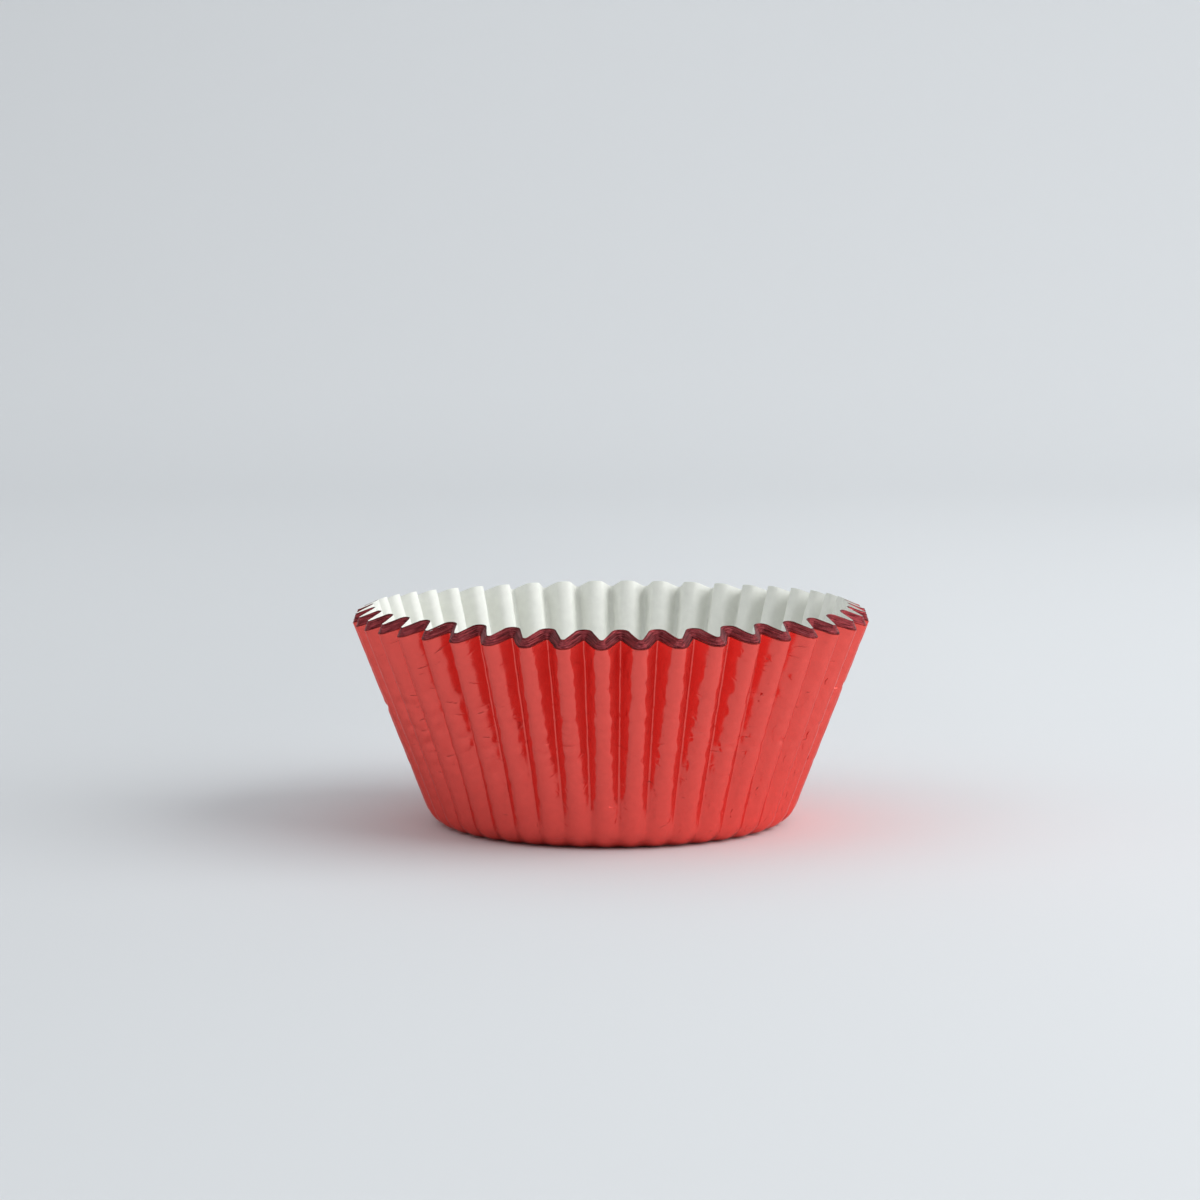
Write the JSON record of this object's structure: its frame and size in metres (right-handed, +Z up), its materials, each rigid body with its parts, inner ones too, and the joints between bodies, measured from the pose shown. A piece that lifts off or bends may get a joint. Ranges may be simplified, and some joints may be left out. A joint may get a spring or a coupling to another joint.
{
  "type": "cupcake liner",
  "caption": "Round fluted paper baking cup with a flat base, leaning pleated wall and scalloped rim, pressed as a tight nest of liners.",
  "frame": {"origin": "centre of the underside of the base, on the surface that it stands on", "axes": "+Z up along the cup's own axis; a crest of the flutes points to -Y"},
  "size_m": [0.0728, 0.0728, 0.0311],
  "materials": {
    "foil_paper": "glossy foil outside, plain white paper inside"
  },
  "bodies": {
    "root": {"cupcake_liner": "foil_paper"}
  },
  "joints": []
}
